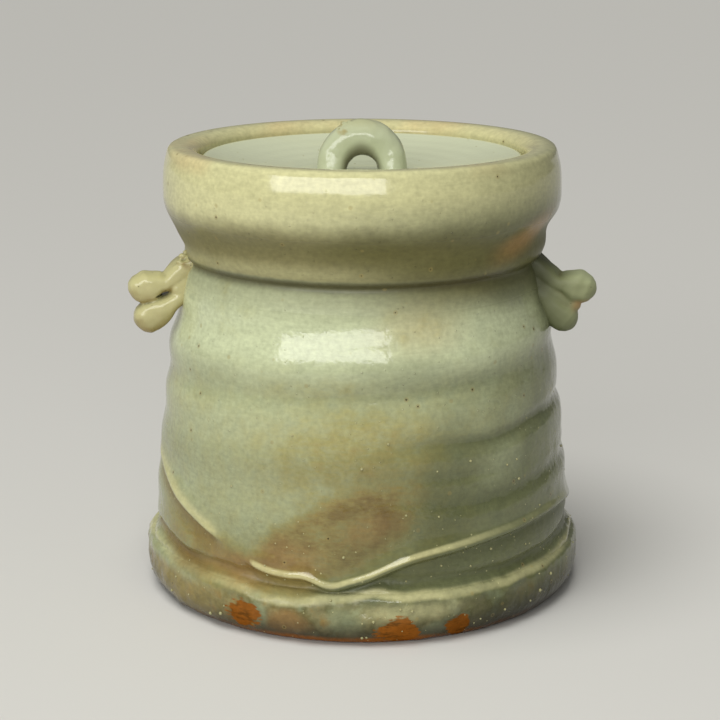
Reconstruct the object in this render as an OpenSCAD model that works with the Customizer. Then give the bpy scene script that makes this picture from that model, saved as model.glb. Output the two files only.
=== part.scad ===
// Mizusashi: the lidded jar that holds fresh water in the tea room.
// A thick stoneware jar is thrown with a rolled collar and a flange at its foot. Two ears, each a coil
// folded into two lobes, are luted on under the collar. A dished lid with a loop knob lies on a ledge
// inside the mouth.
// Sizes are in millimetres. +Z is up, and the origin is on the table, under the jar's axis.

/* [Jar outside] */
// Height of the rim's crest above the table
rim_h = 180; // [168:1:200]
// Radius of the rim's crest
crest_r = 72; // [70:0.5:75]
// Radius of the collar at its widest
collar_r = 80; // [78:0.5:86]
// Depth of the collar's widest line below the crest
collar_drop = 19; // [15:0.5:23]
// How full the rolled rim is: 1 is part of an ellipse, less is squarer
rim_full = 0.75; // [0.6:0.05:1]
// Radius of the neck under the collar
neck_r = 71.5; // [70:0.5:74]
// Depth of the neck below the crest
neck_drop = 45; // [41:0.5:52]
// Height of the collar's lower edge above the neck
collar_edge_h = 1.6; // [1:0.1:3]
// How far the collar's lower edge overhangs the neck
collar_edge_out = 0.8; // [0.4:0.1:1.5]
// Radius of the shoulder
shoulder_r = 77.4; // [75:0.2:80]
// Height of the shoulder above the table
shoulder_h = 105; // [96:1:110]
// Radius of the belly, low on the wall
belly_r = 85.2; // [83:0.2:87]
// Height of the belly above the table
belly_h = 37; // [32:1:48]
// Radius of the flange round the foot
flange_r = 89.8; // [88:0.2:96]
// Height of the flange's widest line
flange_h = 11; // [8:0.5:13]
// Height at which the flange's lip meets the wall
lip_h = 20.5; // [17:0.5:24]
// Height of a throwing ring's crest above the table
ring_h = 87; // [78:1:96]
// Height of one throwing ring
ring_pitch = 19.5; // [14:0.5:26]
// Depth of a throwing ring
ring_depth = 0.35; // [0.1:0.05:0.8]

/* [Jar inside and foot] */
// Thickness of the thrown wall
wall_t = 8; // [6:0.5:10]
// Thickness of the wall behind the collar
collar_t = 11; // [9:0.5:13]
// Thickness of the floor
floor_t = 9; // [6:0.5:13]
// Round between the floor and the wall
floor_round = 16; // [8:1:24]
// Outer radius of the foot
foot_r = 82.5; // [79:0.5:85]
// Width of the flat ring that the jar stands on
foot_w = 15; // [8:1:25]
// Depth of the recess inside the foot
foot_recess = 2.5; // [1:0.5:5]

/* [Welt cut by the spatula] */
// Width of the raised welt
welt_w = 3.2; // [2:0.2:5]
// Height of the welt above the wall
welt_t = 1.2; // [0.6:0.1:2]
// Slope of both welts, in degrees
welt_tilt = 22; // [15:1:25]
// Height of the left welt's plane on the jar's axis
welt_left_h = 54; // [46:1:58]
// Direction in which the left welt climbs, in degrees from +X
welt_left_az = 104; // [98:1:110]
// Height of the right welt's plane on the jar's axis
welt_right_h = 6; // [2:1:10]
// Direction in which the right welt climbs, in degrees from +X
welt_right_az = -38; // [-44:1:-32]
// How far in front of the jar's middle both welts end
welt_end = 10; // [0:1:30]

/* [Lid and its seat] */
// Radius of the lid
lid_r = 64.5; // [60:0.5:66]
// Gap between the lid's edge and the mouth
lid_gap = 1; // [0.5:0.1:2]
// Depth of the seat below the crest
seat_drop = 11; // [9:0.5:13]
// Width of the seat under the lid's edge
seat_w = 7.5; // [5:0.5:10]
// Thickness of the seat's ledge
ledge_t = 6; // [4:0.5:8]
// Thickness of the lid at its edge
lid_edge_t = 6.5; // [5:0.5:8]
// Round on the lid's upper edge
lid_round = 2; // [1:0.5:3]
// Depth of the dish in the lid's top
lid_dish = 8; // [4:0.5:10]
// Thickness of the lid's dished middle
lid_t = 6; // [5:0.5:8]

/* [Knob] */
// Height of the loop's top above the lid's middle
knob_h = 22; // [19:0.5:27]
// Width of the loop outside
knob_w = 36.4; // [34:0.2:42]
// Thickness of the coil at the top of the loop
knob_top_d = 14.6; // [11:0.2:15]
// Thickness of the coil at its feet
knob_foot_d = 11.8; // [9:0.2:12.4]

/* [Ears] */
// How far both ears are turned to the front, in degrees
ear_turn = 12; // [0:1:18]
// Depth of the upper root's middle below the neck
ear_drop = 4.5; // [3.5:0.5:8]
// Distance between the two roots, up the wall
ear_pitch = 12.5; // [11.5:0.25:13.5]
// Reach of the upper lobe's middle beyond the wall
ear_upper_out = 16; // [14:0.5:18]
// Reach of the left ear's lower lobe beyond the wall, to its middle
ear_left_lower_out = 12; // [9.5:0.5:14]
// Reach of the right ear's lower lobe beyond the wall, to its middle
ear_right_lower_out = 6.5; // [6:0.5:12]
// Fall of both lobes' middles below their roots
ear_fall = 5.8; // [4:0.2:8]
// Fall of the upper arm's waist below its root
ear_upper_dip = 5.2; // [4.4:0.2:5.6]
// Fall of the lower arm's waist below its root
ear_lower_dip = 2.9; // [2.4:0.1:3.6]
// Thickness of the upper lobe
ear_upper_d = 14; // [12.5:0.5:16]
// Thickness of the lower lobe
ear_lower_d = 12; // [11:0.5:14]
// Thickness of the upper arm at its waist
ear_upper_waist_d = 9.2; // [8:0.2:10]
// Thickness of the lower arm at its waist
ear_lower_waist_d = 10.8; // [9:0.2:11.4]
// Thickness of the roots that are pressed onto the wall
ear_root_d = 13; // [12.5:0.25:15]
// Width of an ear from front to back
ear_w = 15; // [11:0.5:20]
// Gap left for the slip that lutes a piece on
slip = 0.1; // [0.05:0.05:0.3]

/* [Hidden] */
$fn = 144;

// Heights on the jar
neck_z = rim_h - neck_drop;
collar_z = rim_h - collar_drop;
collar_edge_z = neck_z + collar_edge_h;
collar_edge_r = neck_r + collar_edge_out;
seat_z = rim_h - seat_drop;
floor_z = foot_recess + floor_t;

// Mouth, seat and lid take their sizes from the lid
mouth_r = lid_r + lid_gap;
seat_r = lid_r - seat_w;
lid_edge_z = seat_z + lid_edge_t;
lid_mid_z = lid_edge_z - lid_dish;
lid_flat_r = lid_r - lid_round;
plug_r = seat_r - lid_gap;

// Steps along the outlines and round the coils
wall_step = 3;
arc_steps = 8;
dish_steps = 12;
coil_sides = 16;
coil_steps = 5;
tip_steps = 4;
// How deep a coil's root starts below the face that it is cut to
root_sink = 4;
// How far an ear's root starts above the place where it leaves the wall
root_rise = 2;
// Place of an ear's waist along its arm
waist_at = 0.42;
// How far a cutting slab reaches past the jar
slab_reach = 3 * flange_r;

// Slope of a line of points [radius, height] at its point i
function slope(p, i) =
    let (a = p[max(i - 1, 0)], b = p[min(i + 1, len(p) - 1)])
    (b.x - a.x) / (b.y - a.y);

// Smooth curve between the points i and i + 1, at the height z
function between(p, i, z) =
    let (
        dz = p[i + 1].y - p[i].y,
        t = (z - p[i].y) / dz
    )
    p[i].x * (2 * t^3 - 3 * t^2 + 1) + slope(p, i) * dz * (t^3 - 2 * t^2 + t)
    + p[i + 1].x * (3 * t^2 - 2 * t^3) + slope(p, i + 1) * dz * (t^3 - t^2);

// Radius of a smooth line through points [radius, height], at the height z
function r_at(p, z, i = 0) =
    i == len(p) - 2 || z <= p[i + 1].y ? between(p, i, z) : r_at(p, z, i + 1);

// Heights from a to b in about equal steps
function heights(a, b) =
    let (n = ceil((b - a) / wall_step))
    [for (k = [0 : n]) a + (b - a) * k / n];

// Quarter of an ellipse round c with half sizes a and b, from one angle to another, squarer where full is less than 1
function filled(v, full) = sign(v) * abs(v)^full;
function quarter(c, a, b, from, to, full = 1) =
    [for (k = [0 : arc_steps])
        let (t = from + (to - from) * k / arc_steps)
        [c.x + a * filled(cos(t), full), c.y + b * filled(sin(t), full)]];

// The thrown wall between the flange and the neck, with its rings
wall_line = [[belly_r, 0], [belly_r, belly_h], [shoulder_r, shoulder_h], [neck_r, neck_z]];
function ring(z) =
    ring_depth * cos(360 * (z - ring_h) / ring_pitch) * sin(180 * (z - lip_h) / (neck_z - lip_h));
function wall_r(z) = r_at(wall_line, z) + ring(z);

// Inside of the wall, from the floor's round up to the ledge
cave_line = [
    [belly_r - wall_t, 0],
    [belly_r - wall_t, belly_h],
    [shoulder_r - wall_t, shoulder_h],
    [neck_r - wall_t, neck_z],
    [collar_r - collar_t, (neck_z + collar_z) / 2 + collar_edge_h],
    [seat_r, seat_z - ledge_t]
];
cave_low = floor_z + floor_round;
cave_low_r = r_at(cave_line, cave_low);

// The collar's underside eases from its lower edge out to its widest line
function collar_under(out) =
    [for (k = [0 : arc_steps])
        let (t = k / arc_steps)
        [collar_edge_r + out + (collar_r - collar_edge_r) * (1 - cos(180 * t)) / 2,
         collar_edge_z + (collar_z - collar_edge_z) * t]];

// Outside of the jar from the foot to the crest, moved out by a given amount
function outside(out) = concat(
    quarter([foot_r + out, flange_h], flange_r - foot_r, flange_h, -90, 0),
    quarter([wall_r(lip_h) + out, flange_h], flange_r - wall_r(lip_h), lip_h - flange_h, 0, 90),
    [for (z = heights(lip_h, neck_z)) [wall_r(z) + out, z]],
    collar_under(out),
    quarter([crest_r + out, collar_z], collar_r - crest_r, rim_h - collar_z, 0, 90, rim_full)
);

// Mouth and inside of the jar, from the crest down to the middle of the floor
function inside() = concat(
    quarter([crest_r, lid_edge_z], crest_r - mouth_r, rim_h - lid_edge_z, 90, 180),
    [[mouth_r, seat_z], [seat_r, seat_z]],
    [for (z = heights(-(seat_z - ledge_t), -cave_low)) [r_at(cave_line, -z), -z]],
    quarter([cave_low_r - floor_round, cave_low], floor_round, floor_round, 0, -90),
    [[0, floor_z]]
);

// Recess under the foot, from the axis out to the ring that the jar stands on
function underside() = [
    [0, foot_recess],
    [foot_r - foot_w - foot_recess, foot_recess],
    [foot_r - foot_w, 0]
];

// Everything below a plane that climbs towards the direction az and crosses the axis at the height h
module below(h, az)
    translate([0, 0, h])
        rotate([0, 0, az])
            rotate([0, -welt_tilt, 0])
                translate([-slab_reach, -slab_reach, -slab_reach])
                    cube([2 * slab_reach, 2 * slab_reach, slab_reach]);

// Everything below the higher of the two welts' planes, moved up by a given amount
module below_welts(up) {
    below(welt_left_h + up, welt_left_az);
    below(welt_right_h + up, welt_right_az);
}

// The raised welt: a skin on the wall, kept only between two pairs of tilted planes
module welt() {
    top = neck_z - collar_edge_h;
    skin = heights(lip_h, top);
    intersection() {
        rotate_extrude()
            polygon(concat(
                [for (z = skin) [wall_r(z) + welt_t, z]],
                [[neck_r - wall_t / 2, top], [belly_r - wall_t / 2, lip_h]]
            ));
        difference() {
            below_welts(welt_w / 2);
            below_welts(-welt_w / 2);
        }
        translate([-slab_reach, -welt_end - slab_reach, 0])
            cube([2 * slab_reach, slab_reach, top]);
    }
}

module jar_body() color("#b7bb98") {
    rotate_extrude()
        polygon(concat(outside(0), inside(), underside()));
    welt();
}

// Solid of the jar's outside, used to cut what is luted on
module jar_cutter()
    rotate_extrude()
        polygon(concat([[0, 0]], outside(slip), [[0, rim_h]]));

// Smooth line through points of any length, by a spline that passes through each of them
function bend(a, b, c, d, t) =
    (2 * b + (c - a) * t + (2 * a - 5 * b + 4 * c - d) * t^2 + (3 * b - a - 3 * c + d) * t^3) / 2;
function smooth(p) = concat(
    [for (i = [0 : len(p) - 2])
        for (k = [0 : coil_steps - 1])
            bend(p[max(i - 1, 0)], p[i], p[i + 1], p[min(i + 2, len(p) - 1)], k / coil_steps)],
    [p[len(p) - 1]]
);

// Direction of a coil's line at its point i, where a point is [x, z, half thickness, half width]
function heading(q, i) =
    let (
        d = q[min(i + 1, len(q) - 1)] - q[max(i - 1, 0)],
        n = norm([d.x, d.y])
    )
    [d.x / n, d.y / n];

// One ring of a coil round the point c, square to its heading
function coil_ring(c, way) =
    [for (k = [0 : coil_sides - 1])
        let (a = 360 * k / coil_sides)
        [c.x - way.y * c.z * cos(a), c[3] * sin(a), c.y + way.x * c.z * cos(a)]];

// Rings of a rounded tip beyond the last point of a coil
function tip_rings(c, way) =
    [for (k = [1 : tip_steps])
        let (
            a = 90 * k / (tip_steps + 0.5),
            ahead = c.z * sin(a)
        )
        coil_ring([c.x + way.x * ahead, c.y + way.y * ahead, c.z * cos(a), c[3] * cos(a)], way)];

// A coil of clay along its points, with a rounded tip where it isn't luted at both ends
module coil(points, tipped) {
    q = smooth(points);
    last = len(q) - 1;
    rings = concat(
        [for (i = [0 : last]) coil_ring(q[i], heading(q, i))],
        tipped ? tip_rings(q[last], heading(q, last)) : []
    );
    n = len(rings);
    sides = [
        for (i = [0 : n - 2], k = [0 : coil_sides - 1])
            let (
                a = i * coil_sides + k,
                b = i * coil_sides + (k + 1) % coil_sides
            )
            each [[a, b, a + coil_sides], [b, b + coil_sides, a + coil_sides]]
    ];
    ends = [
        [for (k = [coil_sides - 1 : -1 : 0]) k],
        [for (k = [0 : coil_sides - 1]) (n - 1) * coil_sides + k]
    ];
    polyhedron([for (r = rings) each r], concat(sides, ends));
}

// Line of one arm of an ear, from inside the wall past its waist to the middle of its lobe
function ear_arm(root_z, out, dip, waist_d, lobe_d) =
    let (face = r_at(wall_line, root_z))
    [
        [face - root_sink, root_z + root_rise, ear_root_d / 2, ear_w / 2],
        [face + waist_at * out, root_z - dip, waist_d / 2, ear_w / 2],
        [face + out, root_z - ear_fall, lobe_d / 2, ear_w / 2]
    ];

// An ear on the +X side, turned to the front: the upper and lower arms of a folded coil, cut to the wall
module ear(lower_out) {
    upper_z = neck_z - ear_drop;
    lower_z = upper_z - ear_pitch;
    difference() {
        rotate([0, 0, -ear_turn]) {
            coil(ear_arm(upper_z, ear_upper_out, ear_upper_dip, ear_upper_waist_d, ear_upper_d), true);
            coil(ear_arm(lower_z, lower_out, ear_lower_dip, ear_lower_waist_d, ear_lower_d), true);
        }
        jar_cutter();
    }
}

module left_ear() color("#bdb48a") mirror([1, 0, 0]) ear(ear_left_lower_out);

module right_ear() color("#8d9470") ear(ear_right_lower_out);

// Height of the lid's dished top at the radius r
function dish_z(r) = lid_mid_z + lid_dish * (r / lid_flat_r)^2;

// Points of the dish between two radii, moved down by a given amount
function dish(from, to, down) =
    [for (k = [0 : dish_steps])
        let (r = from + (to - from) * k / dish_steps)
        [r, dish_z(r) - down]];

module lid_plate() color("#a9b09d")
    rotate_extrude()
        polygon(concat(
            dish(0, plug_r, lid_t),
            [[plug_r, seat_z], [lid_r, seat_z]],
            quarter([lid_flat_r, lid_edge_z - lid_round], lid_round, lid_round, 0, 90),
            dish(lid_flat_r, 0, 0)
        ));

// The loop's line: half an ellipse that stands on the lid, thicker at its top
knob_foot_x = (knob_w - knob_foot_d) / 2;
knob_rise = knob_h - knob_top_d / 2;
function knob_half(a) = (knob_foot_d + (knob_top_d - knob_foot_d) * sin(a)) / 2;
function knob_point(a) =
    [knob_foot_x * cos(a), lid_mid_z + knob_rise * sin(a), knob_half(a), knob_half(a)];
function knob_root(side) =
    [side * knob_foot_x, lid_mid_z - root_sink, knob_half(0), knob_half(0)];
knob_line = concat([knob_root(-1)], [for (a = [180 : -30 : 0]) knob_point(a)], [knob_root(1)]);

// The lid's solid up to its dished top, out to the loop's width, used to cut the loop's feet
module lid_cutter() {
    low = lid_mid_z - 2 * root_sink;
    rotate_extrude()
        polygon(concat([[0, low], [knob_w, low]], dish(knob_w, 0, -slip)));
}

module lid_knob() color("#a3a896")
    difference() {
        coil(knob_line, false);
        lid_cutter();
    }

jar_body();
left_ear();
right_ear();
lid_plate();
lid_knob();
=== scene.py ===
# %% [markdown]
# # A lidded water jar for the tea room
# The jar is thrown stoneware under a thick ash glaze. This lesson dresses a measured model of it: the
# model's pieces come in as a fixed frame, and each step makes a finer mesh or a finish that takes a
# piece's place. Nothing is moved or resized. Lengths are written in millimetres and turned into metres
# where a mesh is made.

# %% Load the frame
from math import cos, pi, radians, sin

import bpy
import numpy as np
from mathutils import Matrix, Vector
from mathutils import noise as clay_noise


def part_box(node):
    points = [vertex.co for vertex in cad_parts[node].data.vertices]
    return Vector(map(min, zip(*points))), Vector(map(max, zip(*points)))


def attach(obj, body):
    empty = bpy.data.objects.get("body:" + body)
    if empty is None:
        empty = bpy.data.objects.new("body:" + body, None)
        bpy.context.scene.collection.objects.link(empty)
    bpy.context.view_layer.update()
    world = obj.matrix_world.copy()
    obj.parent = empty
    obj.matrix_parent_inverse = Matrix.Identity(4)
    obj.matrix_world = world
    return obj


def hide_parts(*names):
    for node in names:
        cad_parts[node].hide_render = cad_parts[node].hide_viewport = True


MM = 0.001
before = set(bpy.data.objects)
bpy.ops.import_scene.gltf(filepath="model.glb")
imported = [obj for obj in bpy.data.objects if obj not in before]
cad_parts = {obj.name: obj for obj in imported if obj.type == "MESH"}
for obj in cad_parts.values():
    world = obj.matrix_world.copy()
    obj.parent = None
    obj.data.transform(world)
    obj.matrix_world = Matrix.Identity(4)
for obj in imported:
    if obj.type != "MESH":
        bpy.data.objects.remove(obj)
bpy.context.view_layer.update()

# %% [markdown]
# ## The camera
# A camera can be placed by eye, or worked out from circles whose size is known. Here the rim, the collar,
# the lid and the foot are circles, and the way they flatten gives the height, the distance and the lens.
# The camera looks down by about 14 degrees through a long lens, so the sides of the jar stay nearly
# upright.

# %% Camera
CAMERA_BACK = 758
CAMERA_UP = 286
CAMERA_ASIDE = -0.9
LOOK_DOWN = 14.51
LENS = 94.8
SENSOR = 36


def make_object(name, data):
    """Links a mesh, a lamp or a camera to the scene as an object at the origin."""
    made = bpy.data.objects.new(name, data)
    bpy.context.scene.collection.objects.link(made)
    return made


camera_data = bpy.data.cameras.new("camera")
camera_data.lens = LENS
camera_data.sensor_width = SENSOR
camera = make_object("camera", camera_data)
camera.location = Vector((CAMERA_ASIDE, -CAMERA_BACK, CAMERA_UP)) * MM
camera.rotation_euler = (radians(90 - LOOK_DOWN), 0, 0)
bpy.context.scene.camera = camera
print("camera at", [round(v, 4) for v in camera.location])

# %% [markdown]
# ## Formulas as nodes
# Both the glaze and the thrown wall follow formulas. Each formula is a tree of nodes, and a tree that is
# joined by hand is long to read. The Wire below stands for a value on its way through a tree: adding or
# multiplying two wires adds a Math node, so that a formula reads as one line. It works in shader trees
# and in Geometry Nodes alike.


# %% Wires between nodes
def plug(tree, socket, value):
    """Joins a wire to a socket, or sets the socket's own value."""
    if isinstance(value, Wire):
        tree.links.new(value.socket, socket)
    else:
        socket.default_value = value


def add_node(tree, kind, values=None, **settings):
    """A new node with its settings, and with the sockets named in values joined or set."""
    node = tree.nodes.new(kind)
    for name, setting in settings.items():
        setattr(node, name, setting)
    for key, value in (values or {}).items():
        plug(tree, node.inputs[key], value)
    return node


def wired(tree, kind, values=None, output=0, **settings):
    """A wire from one output of a new node."""
    return Wire(tree, add_node(tree, kind, values, **settings).outputs[output])


class Wire:
    """A number on its way through a node tree."""

    def __init__(self, tree, socket):
        self.tree = tree
        self.socket = socket

    def math(self, operation, *others):
        return wired(self.tree, "ShaderNodeMath", dict(enumerate((self, *others))), operation=operation)

    def __add__(self, other):
        return self.math("ADD", other)

    def __sub__(self, other):
        return self.math("SUBTRACT", other)

    def __mul__(self, other):
        return self.math("MULTIPLY", other)

    def __truediv__(self, other):
        return self.math("DIVIDE", other)

    def __rsub__(self, other):
        return self * -1 + other

    __radd__ = __add__
    __rmul__ = __mul__

    def rise(self, low, high):
        """0 below low, 1 above high, and a smooth slope between."""
        values = dict(enumerate((self, low, high)))
        return wired(self.tree, "ShaderNodeMapRange", values, interpolation_type="SMOOTHSTEP")

    def fall(self, low, high):
        """1 below low, 0 above high."""
        return 1 - self.rise(low, high)

    def bump(self, middle, half):
        """A soft hump: 1 at the middle, 0 from half away."""
        return (self - middle).math("ABSOLUTE").fall(0, half)


def noise(tree, vector, scale, detail=2.0, roughness=0.5):
    """Cloudy noise from about -0.5 to 0.5; scale counts its features in a metre."""
    values = {"Vector": vector, "Scale": scale, "Detail": detail, "Roughness": roughness}
    return wired(tree, "ShaderNodeTexNoise", values, "Fac") - 0.5


def parts_of(tree, vector):
    """The x, y and z of a vector, in millimetres."""
    node = add_node(tree, "ShaderNodeSeparateXYZ", {0: vector})
    return [Wire(tree, socket) / MM for socket in node.outputs]


def length(x, y):
    """Distance of a point from the middle."""
    return (x * x + y * y).math("SQRT")


def degrees_round(x, y):
    """Direction round the jar's axis in degrees: 0 at the front, growing to the right, with a seam behind."""
    return x.math("ARCTAN2", y * -1) * (180 / pi)


def degrees_aside(x, y):
    """The same direction folded back behind the jar, so without a seam: -90 is left and 90 is right."""
    return (x / length(x, y)).math("ARCSINE") * (180 / pi)


print("wires ready")

# %% [markdown]
# ## Floor and light
# A pale floor and one wide softbox in front, a little to the left, light the jar. On the real pot that
# softbox shows as an upright-edged patch of white on the shoulder and as a streak on the collar, and its
# place follows from where the wall sends the camera's line of sight. A broad light from above on the left
# shapes the rim and the underside of the collar without adding a highlight of its own, and the
# surroundings fill the shade.

# %% Floor
FLOOR_HALF = 6.0
FLOOR_TONE = (0.60, 0.59, 0.55, 1)
FLOOR_ROUGHNESS = 0.85


def plain_material(name, tone, roughness):
    """A material whose Principled shader gets one colour and one roughness."""
    material = bpy.data.materials.new(name)
    material.use_nodes = True
    shader = material.node_tree.nodes["Principled BSDF"]
    shader.inputs["Base Color"].default_value = tone
    shader.inputs["Roughness"].default_value = roughness
    return material


floor_mesh = bpy.data.meshes.new("floor")
floor_corners = [(sx * FLOOR_HALF, sy * FLOOR_HALF, 0) for sx, sy in ((-1, -1), (1, -1), (1, 1), (-1, 1))]
floor_mesh.from_pydata(floor_corners, [], [(0, 1, 2, 3)])
floor_mesh.materials.append(plain_material("pale_floor", FLOOR_TONE, FLOOR_ROUGHNESS))
floor = make_object("floor", floor_mesh)
print("floor is", 2 * FLOOR_HALF, "m wide")

# %% Lamps and surroundings
LIGHT_AIM = Vector((0, 0, 0.1))
LIGHT_DISTANCE = 1.25
SOFTBOX = {"shape": "RECTANGLE", "size": 1.50, "size_y": 0.35, "energy": 9.0}
CEILING = {"energy": 2.3, "angle": radians(40)}
SURROUNDINGS = 0.16
BACKDROP = 0.80
SKY_TONE = (1.0, 0.99, 0.95, 1)


def lamp(name, kind, azimuth, elevation, **settings):
    """A lamp that faces the jar; azimuth is to the right of the front, in degrees."""
    data = bpy.data.lights.new(name, kind)
    for label, setting in settings.items():
        setattr(data, label, setting)
    a = radians(azimuth)
    e = radians(elevation)
    towards = Vector((sin(a) * cos(e), -cos(a) * cos(e), sin(e)))
    made = make_object(name, data)
    made.location = LIGHT_AIM + towards * LIGHT_DISTANCE
    made.rotation_euler = towards.to_track_quat("Z", "Y").to_euler()
    return made


softbox = lamp("softbox", "AREA", azimuth=-19, elevation=21, **SOFTBOX)
ceiling = lamp("ceiling", "SUN", azimuth=-45, elevation=74, **CEILING)
ceiling.visible_glossy = False

world = bpy.data.worlds.new("surroundings")
bpy.context.scene.world = world
world.use_nodes = True
sky = world.node_tree
seen = wired(sky, "ShaderNodeLightPath", output="Is Camera Ray")
plug(sky, sky.nodes["Background"].inputs["Strength"], seen * (BACKDROP - SURROUNDINGS) + SURROUNDINGS)
sky.nodes["Background"].inputs["Color"].default_value = SKY_TONE
bpy.context.scene.view_settings.view_transform = "Standard"
print("lamps", softbox.name, ceiling.name)

# %% [markdown]
# ## The jar's outline
# A thrown pot is a turned shape, so its mesh starts as an outline that is turned round the axis. The
# outline could be traced point by point, but a potter thinks in a few widths: foot, flange, belly,
# shoulder, neck, collar and crest. A smooth line through those is enough, with quarters of ellipses for
# the flange and the rolled rim.

# %% Sizes of the jar
_, jar_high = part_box("jar_body")
rim_h = jar_high.z / MM
flange_r = jar_high.x / MM
crest_r = flange_r - 17.8
collar_r = flange_r - 9.8
collar_z = rim_h - 19
neck_r = flange_r - 18.3
neck_z = rim_h - 45
collar_edge_r = neck_r + 0.8
collar_edge_z = neck_z + 1.6
shoulder_r = flange_r - 12.4
shoulder_z = rim_h - 75
belly_r = flange_r - 4.6
belly_z = 37
flange_z = 11
lip_z = 20.5
foot_r = flange_r - 7.3
foot_w = 15
foot_recess = 2.5
floor_z = 11.5
floor_round = 16
wall_t = 8
_, lid_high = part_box("lid_plate")
lid_r = lid_high.x / MM
mouth_r = lid_r + 1
seat_r = lid_r - 7.5
seat_z = rim_h - 11
ledge_z = seat_z - 6
mouth_top_z = rim_h - 4.5
print("rim", round(rim_h, 1), "flange", round(flange_r, 1), "lid", round(lid_r, 1))


# %% Curves of the outline
def smooth_radius(points, heights):
    """Radius at each height of a smooth line through points (radius, height) that go up."""
    r, z = np.array(points, float).T
    last = len(z) - 1
    before = np.clip(np.arange(len(z)) - 1, 0, last)
    after = np.clip(np.arange(len(z)) + 1, 0, last)
    slope = (r[after] - r[before]) / (z[after] - z[before])
    i = np.clip(np.searchsorted(z, heights, side="right") - 1, 0, last - 1)
    step = z[i + 1] - z[i]
    t = (heights - z[i]) / step
    rising = r[i] * (2 * t**3 - 3 * t**2 + 1) + r[i + 1] * (3 * t**2 - 2 * t**3)
    return rising + step * (slope[i] * (t**3 - 2 * t**2 + t) + slope[i + 1] * (t**3 - t**2))


def filled(share, full):
    """A share of a round form, drawn out so that the form is squarer where full is less than 1."""
    return np.sign(share) * np.abs(share) ** full


def quarter(middle, wide, tall, start, end, count, full=1.0):
    """Points on part of an ellipse, between two angles in degrees."""
    turn = np.radians(np.linspace(start, end, count))
    across = middle[0] + wide * filled(np.cos(turn), full)
    return np.column_stack((across, middle[1] + tall * filled(np.sin(turn), full)))


def at_heights(line, heights):
    """Points of a smooth line at the given heights."""
    return np.column_stack((smooth_radius(line, heights), heights))


LOW_STEP = 0.6
LOW_TOP = 62
WALL_STEP = 1.3
RIM_FULL = 0.68
wall_line = [(belly_r, 0), (belly_r, belly_z), (shoulder_r, shoulder_z), (neck_r, neck_z)]
wall_heights = np.append(np.arange(lip_z, LOW_TOP, LOW_STEP), np.arange(LOW_TOP, neck_z, WALL_STEP))
wall = at_heights(wall_line, wall_heights)
lip_r = wall[0, 0]
under_collar = np.linspace(0, 1, 20)
collar_under = np.column_stack((
    collar_edge_r + (collar_r - collar_edge_r) * (1 - np.cos(pi * under_collar)) / 2,
    collar_edge_z + (collar_z - collar_edge_z) * under_collar,
))
outside = np.vstack((
    quarter((foot_r, flange_z), flange_r - foot_r, flange_z, -90, 0, 14),
    quarter((lip_r, flange_z), flange_r - lip_r, lip_z - flange_z, 0, 90, 14)[1:-1],
    wall,
    [(neck_r, neck_z)],
    collar_under,
    quarter((crest_r, collar_z), collar_r - crest_r, rim_h - collar_z, 0, 90, 22, RIM_FULL)[1:],
))
print("outside has", len(outside), "points")

# %% Inside and foot of the outline
CAVE_STEP = 6.0
cave_line = [
    (belly_r - wall_t, 0),
    (belly_r - wall_t, belly_z),
    (shoulder_r - wall_t, shoulder_z),
    (neck_r - wall_t, neck_z),
    (collar_r - 11, (neck_z + collar_z) / 2 + 1.6),
    (seat_r, ledge_z),
]
cave_low = floor_z + floor_round
cave = at_heights(cave_line, np.arange(cave_low, ledge_z, CAVE_STEP))[::-1]
inside = np.vstack((
    quarter((crest_r, mouth_top_z), crest_r - mouth_r, rim_h - mouth_top_z, 90, 180, 10)[1:],
    [(mouth_r, seat_z + 0.6), (mouth_r - 0.5, seat_z)],
    [(seat_r + 1, seat_z), (seat_r, seat_z - 0.8), (seat_r, ledge_z)],
    cave,
    quarter((cave[-1, 0] - floor_round, cave_low), floor_round, floor_round, 0, -90, 8)[1:],
    [(r, floor_z) for r in (45, 25, 10, 0)],
))
underside = np.array([
    (0, foot_recess),
    (25, foot_recess),
    (50, foot_recess),
    (foot_r - foot_w - foot_recess, foot_recess),
    (foot_r - foot_w, 0),
    (foot_r - 8, 0),
])
outline = np.vstack((underside, outside, inside))
print("outline has", len(outline), "points")

# %% [markdown]
# ## Throwing the jar
# The outline is turned into rings of points. Rows that belong to the outside carry the number 1 in an
# attribute named skin, so that what is done to the outside next leaves the mouth and the ledge alone,
# where the lid fits.

# %% Turn the outline
COLUMNS = 400


def turned_mesh(name, outline, columns):
    """Turns an outline of (radius, height) in mm round the axis. It starts and ends on the axis."""
    round_it = np.arange(columns) * 2 * pi / columns
    rings = outline[1:-1]
    x = rings[:, :1] * np.sin(round_it)
    y = -rings[:, :1] * np.cos(round_it)
    z = np.repeat(rings[:, 1:], columns, axis=1)
    points = np.stack((x, y, z), axis=-1).reshape(-1, 3)
    first = len(points)
    points = np.vstack((points, (0, 0, outline[0, 1]), (0, 0, outline[-1, 1]))) * MM
    top = (len(rings) - 1) * columns
    faces = []
    for row in range(len(rings) - 1):
        base = row * columns
        for k in range(columns):
            k2 = (k + 1) % columns
            faces.append((base + k, base + k2, base + columns + k2, base + columns + k))
    for k in range(columns):
        k2 = (k + 1) % columns
        faces.append((first, k2, k))
        faces.append((first + 1, top + k, top + k2))
    mesh = bpy.data.meshes.new(name)
    mesh.from_pydata(points.tolist(), [], faces)
    mesh.shade_smooth()
    return mesh


jar_mesh = turned_mesh("thrown_jar", outline, COLUMNS)
row_is_skin = np.zeros(len(outline))
row_is_skin[len(underside):len(underside) + len(outside)] = 1
skin = np.append(np.repeat(row_is_skin[1:-1], COLUMNS), (0, 0)).astype(np.float32)
jar_mesh.attributes.new("skin", "FLOAT", "POINT").data.foreach_set("value", skin)
jar = make_object("thrown_jar", jar_mesh)
print("jar has", len(jar_mesh.polygons), "faces")

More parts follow.
